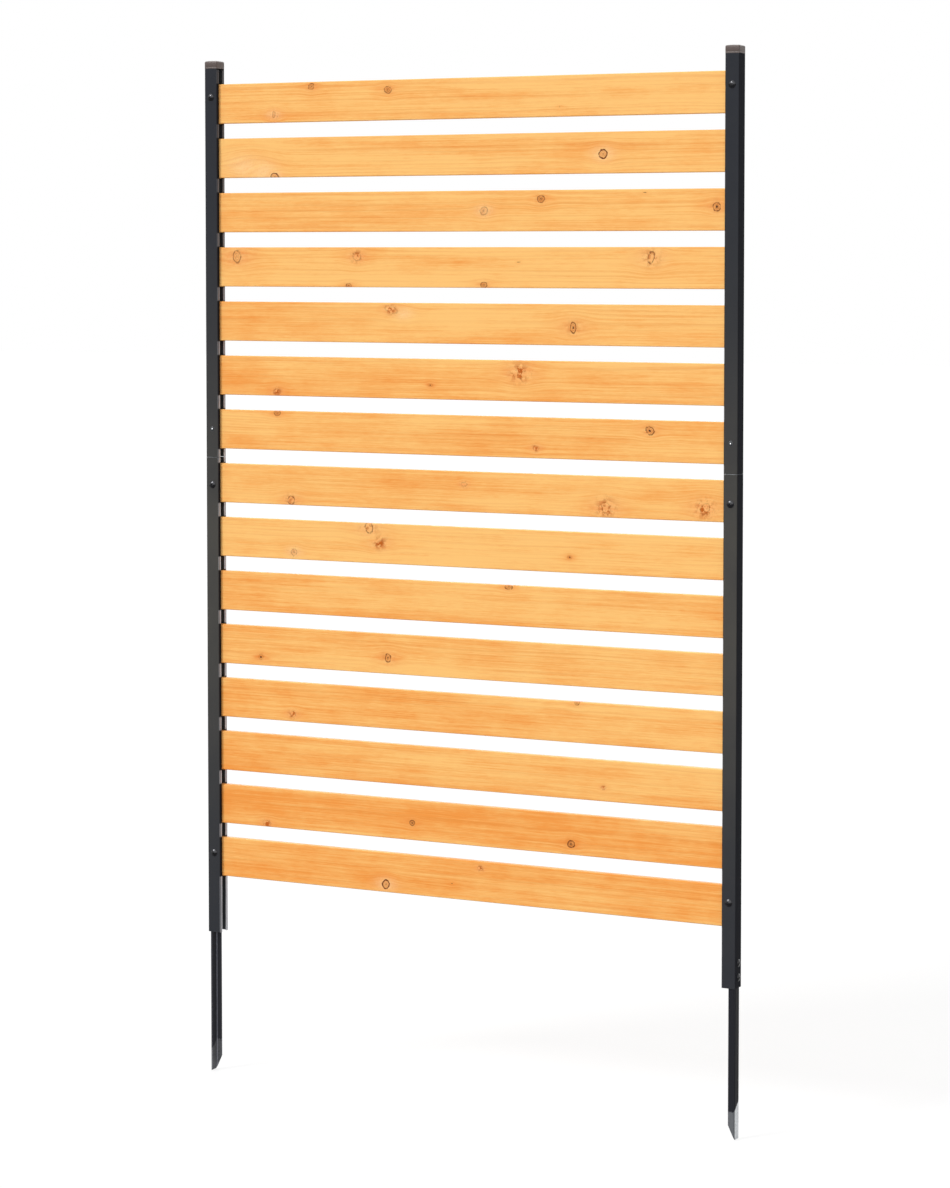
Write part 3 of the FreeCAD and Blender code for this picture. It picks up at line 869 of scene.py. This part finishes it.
def threadedShank(length, core, crest, pitch, taper, segments=24, rowsPerTurn=8, tipShare=0.25):
    # Rod with a running thread, from the seat down. A taper above 0 narrows its end to a tip.
    shape = bmesh.new()
    rows = int(length / pitch * rowsPerTurn)
    rings = []
    for row in range(rows + 1):
        depth = length * row / rows
        narrow = min(1.0, (length - depth) / taper + tipShare) if taper else 1.0
        radii = []
        for step in range(segments):
            # The thread's root is flat, then its flank rises to the crest
            wave = abs(((depth / pitch - step / segments) % 1.0) * 2 - 1)
            radii.append((core + (crest - core) * max(0.0, wave * 1.6 - 0.6)) * narrow)
        rings.append(addRing(shape, -depth, radii))
    return joinRings(shape, rings)


def wedge(length, lowLength, width, lowWidth, top, bottom):  # one arm of a cross recess
    shape = bmesh.new()
    corners = ((-1, -1), (1, -1), (1, 1), (-1, 1))
    upper = [shape.verts.new((x * length / 2, y * width / 2, top)) for x, y in corners]
    lower = [shape.verts.new((x * lowLength / 2, y * lowWidth / 2, bottom)) for x, y in corners]
    return joinRings(shape, [upper, lower])


def combine(mesh, cutter, operation):  # boolean of two meshes, as a new mesh
    body = bpy.data.objects.new("body", mesh)
    tool = bpy.data.objects.new("tool", cutter)
    for item in (body, tool):
        scene.collection.objects.link(item)
    modifier = body.modifiers.new("combine", "BOOLEAN")
    modifier.operation = operation
    modifier.solver = "EXACT"
    modifier.object = tool
    graph = bpy.context.evaluated_depsgraph_get()
    result = bpy.data.meshes.new_from_object(body.evaluated_get(graph))
    for item in (body, tool):
        bpy.data.objects.remove(item)
    return result


def looseParts(node):  # boxes of a node's separate solids, in metres
    shape = weldedShape(node)
    waiting = set(shape.verts)
    boxes = []
    while waiting:
        group = []
        front = [waiting.pop()]
        while front:
            vertex = front.pop()
            group.append(vertex.co.copy())
            for link in vertex.link_edges:
                other = link.other_vert(vertex)
                if other in waiting:
                    waiting.remove(other)
                    front.append(other)
        boxes.append(tuple(Vector(pick(point[axis] for point in group) for axis in range(3))
                           for pick in (min, max)))
    shape.free()
    return sorted(boxes, key=lambda box: (round(box[0].x, 4), round(box[0].z, 4)))


def buildCopies(name, mesh, places, materials, node):
    # One object with a copy of the mesh at each place, which stands for the CAD node
    shape = bmesh.new()
    for place in places:
        copy = mesh.copy()
        copy.transform(place @ Matrix.Scale(mm, 4))
        shape.from_mesh(copy)
        bpy.data.meshes.remove(copy)
    addPiece(name, toMesh(shape, name), materials, node)


def toFront(middle):
    return Vector((0, -1, 0))


def outward(middle):  # away from the boards
    return Vector((math.copysign(1, middle.x), 0, 0))


def inward(middle):
    return -outward(middle)


def findSeats(node, direction, height, turns=(0, 0)):
    # For each of a node's solids the seat of its head, which rises so many mm in the direction
    places = []
    for index, (low, high) in enumerate(looseParts(node)):
        middle = (low + high) / 2
        way = direction(middle)
        reach = abs(way.dot(high - low)) / 2 - height * mm
        swing = way.to_track_quat("Z", "Y").to_matrix().to_4x4()
        turn = Matrix.Rotation(math.radians(turns[0] + turns[1] * index), 4, "Z")
        places.append(Matrix.Translation(middle + way * reach) @ swing @ turn)
    return places


# Screws and stake bolts, with cross recess

screwLook = {
    # The dark colour is painted shade on what faces down, and the worn edges are partly a painted
    # highlight
    "plating": tint(64, 64, 66), "shadeBelow": tint(30, 30, 32),
    "worn": tint(150, 150, 150), "wornCover": 0.5,
    "grain": 0.4, "ripple": 2.0, "wearWidth": 0.35, "wearBreak": 0.4,
    "roughness": 0.2, "speckle": 0.15, "relief": 0.02,
}
screwSizes = {  # mm
    "headWidth": 11.0, "headHeight": 2.4, "rim": 0.45, "lip": 0.35,
    "recessWidth": 4.8, "recessLow": 2.0, "armWidth": 1.3, "armLow": 0.6, "recessDepth": 1.7,
    "domeInset": 0.1, "domeLow": 0.12, "cutAbove": 0.5,
    "shank": 4.8, "core": 3.7, "screwPitch": 1.8, "boltPitch": 0.8, "screwTip": 3.0,
}
# Degrees by which the first cross is turned and by which each next one differs
screwTurns, boltTurns = (20, 37), (12, 41)


def screwHead():
    half, height = screwSizes["headWidth"] / 2, screwSizes["headHeight"]
    lip, rim = screwSizes["lip"], screwSizes["rim"]
    profile = [(0, 0), (half - lip / 2, 0), (half, lip / 2), (half, rim)]
    profile += domePoints(half - screwSizes["domeInset"], rim + screwSizes["domeLow"], height, 10)
    mesh = toMesh(turnProfile(profile, 64), "screwHead")
    for turn in (0, 90):
        arm = wedge(screwSizes["recessWidth"], screwSizes["recessLow"], screwSizes["armWidth"],
                    screwSizes["armLow"], height + screwSizes["cutAbove"],
                    height - screwSizes["recessDepth"])
        bmesh.ops.rotate(arm, verts=arm.verts, matrix=Matrix.Rotation(math.radians(turn), 3, "Z"))
        mesh = combine(mesh, toMesh(arm, "recessArm"), "DIFFERENCE")
    return mesh


def wholeScrew(length, pitch, taper):
    shape = bmesh.new()
    shape.from_mesh(screwHead())
    shank = threadedShank(length - screwSizes["headHeight"], screwSizes["core"] / 2,
                          screwSizes["shank"] / 2, pitch, taper)
    shape.from_mesh(toMesh(shank, "shank"))
    return toMesh(shape, "screw")


def makeScrewMaterial():
    material, tree, shader = newMaterial("blackScrew", Metallic=1.0)
    point, skin, worn = startSurface(tree, screwLook)
    # What faces down is painted darker, as shade
    below = ramp(tree, split(tree, surfaceNormal(tree))["Z"], 0.2, -0.1)
    colour = mixColours(tree, below, screwLook["plating"], screwLook["shadeBelow"])
    endWornSurface(tree, shader, skin, worn, colour, screwLook)
    return material


blackScrew = makeScrewMaterial()


def makeScrews(name, node, direction, pitch, tip, turns):
    low, high = looseParts(node)[0]
    mesh = wholeScrew(abs(direction(low).dot(high - low)) / mm, pitch, tip)
    places = findSeats(node, direction, screwSizes["headHeight"], turns)
    buildCopies(name, mesh, places, [blackScrew], node)


makeScrews("crossHeadScrews", "slat_screws", toFront, screwSizes["screwPitch"],
           screwSizes["screwTip"], screwTurns)
makeScrews("stakeBoltHeads", "stake_bolts", outward, screwSizes["boltPitch"], 0, boltTurns)
print("screws and bolts made")


# Nuts on the stake bolts

nutSizes = {  # mm
    "flats": 8.0, "height": 4.0, "bore": 4.9, "faceChamfer": 0.6, "boreChamfer": 0.4,
    "boreFlare": 1.4,           # how far the bore's chamfer widens 1 mm outside the nut
}


def makeStakeNuts():
    height, flats = nutSizes["height"], nutSizes["flats"]
    corner, bore = flats / math.sqrt(3), nutSizes["bore"] / 2
    prism = turnProfile([(0, 0), (corner, 0), (corner, height), (0, height)], 6)
    drop, wide = nutSizes["faceChamfer"], corner + 0.05
    lens = turnProfile([(0, 0), (flats / 2 - 0.1, 0), (wide, drop), (wide, height - drop),
                        (flats / 2 - 0.1, height), (0, height)])
    mesh = combine(toMesh(prism, "nutPrism"), toMesh(lens, "nutLens"), "INTERSECT")
    ease, flare = nutSizes["boreChamfer"], bore + nutSizes["boreFlare"]
    hole = turnProfile([(0, -1), (flare, -1), (bore, ease), (bore, height - ease),
                        (flare, height + 1), (0, height + 1)])
    mesh = combine(mesh, toMesh(hole, "nutBore"), "DIFFERENCE")
    places = findSeats("stake_nuts", inward, height, (90, 0))
    buildCopies("stakeNutsHex", mesh, places, [zincPlate], "stake_nuts")


makeStakeNuts()
print("nuts made")


# Blind rivets of the joiners

rivetLook = {
    "worn": tint(228, 230, 232), "wornCover": 0.2,
    "grain": 0.3, "ripple": 1.5, "wearWidth": 0.3, "wearBreak": 0.3,
    "speckle": 0.12, "relief": 0.02,
}
# The rivet's own finish and its pin's
rivetFinishes = {
    "rivetCoat": {"base": tint(40, 42, 46), "metallic": 0.3, "roughness": 0.35},
    "rivetPin": {"base": tint(228, 230, 232), "metallic": 0.9, "roughness": 0.25},
}
rivetSizes = {  # mm
    "headWidth": 7.0, "headHeight": 1.1, "hole": 2.3, "holeDepth": 0.55, "pin": 2.1,
    "shank": 4.0, "grip": 2.8, "bulb": 5.6, "bulbHeight": 2.2,
}


def makeRivets():
    half, hole, shank, bulb, pinHalf = (
        rivetSizes[name] / 2 for name in ("headWidth", "hole", "shank", "bulb", "pin"))
    rise = rivetSizes["headHeight"]
    floor = rise - rivetSizes["holeDepth"]
    back = -rivetSizes["grip"]
    end = back - rivetSizes["bulbHeight"]
    # From the end in the wood side up the shank's bulb, over the head and down into its hole
    profile = [(0, end), (shank - 0.3, end), (shank, end + 0.3)]
    profile += [(bulb - 0.15, end + 0.9), (bulb, end + 1.4), (bulb - 0.1, back - 0.25),
                (bulb - 0.4, back), (shank, back), (shank, 0), (half - 0.15, 0)]
    profile += [point for point in domePoints(half, 0.12, rise) if point[0] > hole + 0.2]
    profile += [(hole + 0.15, rise - 0.05), (hole, rise - 0.15), (hole, floor), (0, floor)]
    shape = turnProfile(profile)
    pin = turnProfile([(0, floor - 0.3), (pinHalf, floor - 0.3), (pinHalf, floor + 0.12),
                       (pinHalf - 0.3, floor + 0.34), (0, floor + 0.42)], 24)
    for face in pin.faces:
        face.material_index = 1
    shape.from_mesh(toMesh(pin, "pin"))
    mesh = toMesh(shape, "rivet")
    places = findSeats("joiner_rivets", toFront, rise)
    materials = [makePlainMaterial(name, {**rivetLook, **finish}, Metallic=finish["metallic"])
                 for name, finish in rivetFinishes.items()]
    buildCopies("blindRivets", mesh, places, materials, "joiner_rivets")


makeRivets()
print("rivets made")


# Studio: pale floor, soft lamps, plain white surroundings

studioLook = {
    "floorDrop": 0.0005,        # m below the object's lowest point
    "floorSize": 60.0,
    "floorBounce": 0.35,
    "floorGlow": 0.78,          # what the camera sees of the floor besides the lamps' light
    "floorShade": 0.2,
    "ambient": 0.3,
    "lampDistance": 5.0,        # m; a sun lamp's light doesn't depend on it
}
# Far soft lamps: where each shines from, how wide it is in degrees, and its share of plain light
lamps = {
    "keyLamp": {"from": (-0.43, -0.64, 0.63), "width": 16, "share": 0.66},
    "fillLamp": {"from": (0.08, -0.97, 0.2), "width": 70, "share": 0.34},
    "topLamp": {"from": (-0.1, 0.1, 1.0), "width": 60, "share": 0.32},
    "backLamp": {"from": (-0.35, 0.85, 0.4), "width": 60, "share": 0.42},
}


def seenDirectly(tree):  # 1 for camera, glossy and transmission rays
    path = addNode(tree, "LightPath").outputs
    seen = calc(tree, "MAXIMUM", path["Is Camera Ray"], path["Is Glossy Ray"])
    return calc(tree, "MAXIMUM", seen, path["Is Transmission Ray"])


def makeWorld():
    world = bpy.data.worlds.new("paleStudio")
    scene.world = world
    world.use_nodes = True
    tree = world.node_tree
    strength = calc(tree, "MULTIPLY_ADD", seenDirectly(tree), 1 - studioLook["ambient"],
                    studioLook["ambient"])
    background = tree.nodes["Background"].inputs
    background["Color"].default_value = (1, 1, 1, 1)
    tree.links.new(strength, background["Strength"])


def makeFloor():
    shape = bmesh.new()
    bmesh.ops.create_grid(shape, x_segments=1, y_segments=1, size=studioLook["floorSize"] / 2)
    floor = bpy.data.objects.new("studioFloor", toMesh(shape, "studioFloor"))
    floor.location.z = cadBox[0].z - studioLook["floorDrop"]
    scene.collection.objects.link(floor)
    material = bpy.data.materials.new("paleFloor")
    material.use_nodes = True
    tree = material.node_tree
    tree.nodes.clear()
    bounce, shade = (addNode(tree, "BsdfDiffuse", {"Color": (level, level, level, 1)})
                     for level in (studioLook["floorBounce"], studioLook["floorShade"]))
    glow = addNode(tree, "Emission", {"Color": (1, 1, 1, 1), "Strength": studioLook["floorGlow"]})
    white = addNode(tree, "AddShader", {0: shade.outputs[0], 1: glow.outputs[0]})
    mixed = addNode(tree, "MixShader", {0: seenDirectly(tree), 1: bounce.outputs[0],
                                        2: white.outputs[0]})
    addNode(tree, "OutputMaterial", {"Surface": mixed.outputs[0]})
    floor.data.materials.append(material)


def makeLamps():
    for name, lamp in lamps.items():
        light = bpy.data.lights.new(name, "SUN")
        light.energy = lamp["share"] * math.pi
        light.angle = math.radians(lamp["width"])
        item = bpy.data.objects.new(name, light)
        item.location = Vector(lamp["from"]) * studioLook["lampDistance"]
        item.rotation_euler = Vector(lamp["from"]).to_track_quat("Z", "Y").to_euler()
        scene.collection.objects.link(item)


makeWorld()
makeFloor()
makeLamps()
print("studio ready")


# Camera at the photograph's viewing angle

cameraLook = {
    "place": (2.13, -4.2188, 1.0523),   # m
    "yaw": 26.597,          # degrees, turned to the left of +Y
    "pitch": 3.131,         # degrees, looking down
    "lens": 96.76,          # mm
    "shiftY": -0.14,
}


def makeCamera():
    data = bpy.data.cameras.new("photoCamera")
    data.lens = cameraLook["lens"]
    data.shift_y = cameraLook["shiftY"]
    camera = bpy.data.objects.new("photoCamera", data)
    camera.location = cameraLook["place"]
    camera.rotation_euler = (math.radians(90 - cameraLook["pitch"]), 0,
                             math.radians(cameraLook["yaw"]))
    scene.collection.objects.link(camera)
    scene.camera = camera


makeCamera()
scene.view_settings.view_transform = "Standard"
